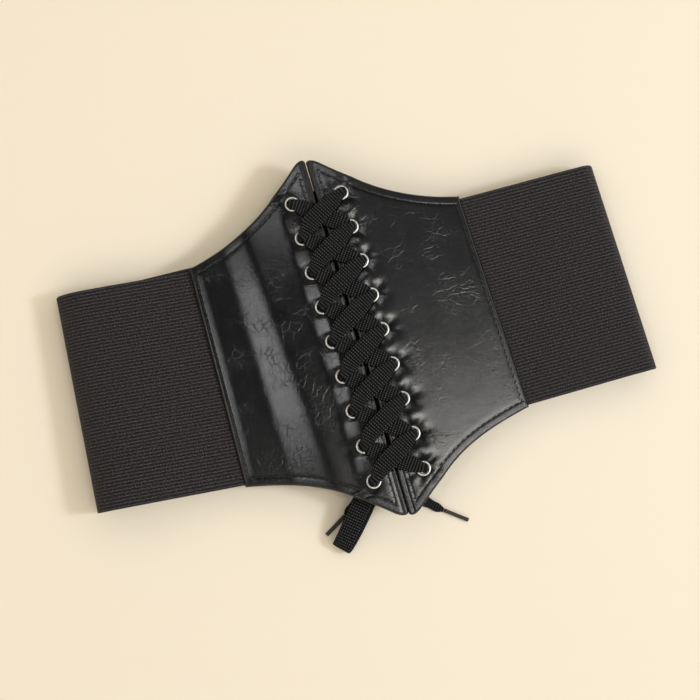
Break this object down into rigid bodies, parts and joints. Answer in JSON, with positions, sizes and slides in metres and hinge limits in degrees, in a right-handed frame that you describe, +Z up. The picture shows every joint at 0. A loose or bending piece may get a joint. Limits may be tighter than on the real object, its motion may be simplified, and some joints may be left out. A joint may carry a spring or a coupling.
{
  "type": "corset belt",
  "caption": "Wide waist belt of two pointed front panels laced together through eyelets, joined round the back by ribbed elastic.",
  "frame": {"origin": "on the surface that the belt lies on, under the middle of the belt without its loose bow", "axes": "+X towards the wearer's left, +Y towards the wearer's head, +Z up out of the front"},
  "size_m": [0.3168, 0.2151, 0.0267],
  "materials": {
    "leather_cloth": "glossy black coated leather-cloth with fine creases",
    "ribbed_elastic": "matt charcoal elastic with fine lengthwise ribs",
    "lace": "matt black flat braid",
    "eyelet": "bright nickel",
    "aglet": "dark hardened lace tip"
  },
  "bodies": {
    "root": {"left_panel": "leather_cloth", "right_panel": "leather_cloth", "elastic_band": "ribbed_elastic", "lace": "lace", "left_eyelet_1": "eyelet", "left_eyelet_2": "eyelet", "left_eyelet_3": "eyelet", "left_eyelet_4": "eyelet", "left_eyelet_5": "eyelet", "left_eyelet_6": "eyelet", "left_eyelet_7": "eyelet", "left_eyelet_8": "eyelet", "left_eyelet_9": "eyelet", "right_eyelet_1": "eyelet", "right_eyelet_2": "eyelet", "right_eyelet_3": "eyelet", "right_eyelet_4": "eyelet", "right_eyelet_5": "eyelet", "right_eyelet_6": "eyelet", "right_eyelet_7": "eyelet", "right_eyelet_8": "eyelet", "right_eyelet_9": "eyelet", "bow_knot": "lace", "left_loop": "lace", "right_loop": "lace", "left_tail": "lace", "right_tail": "lace", "left_aglet": "aglet", "right_aglet": "aglet"}
  },
  "joints": []
}
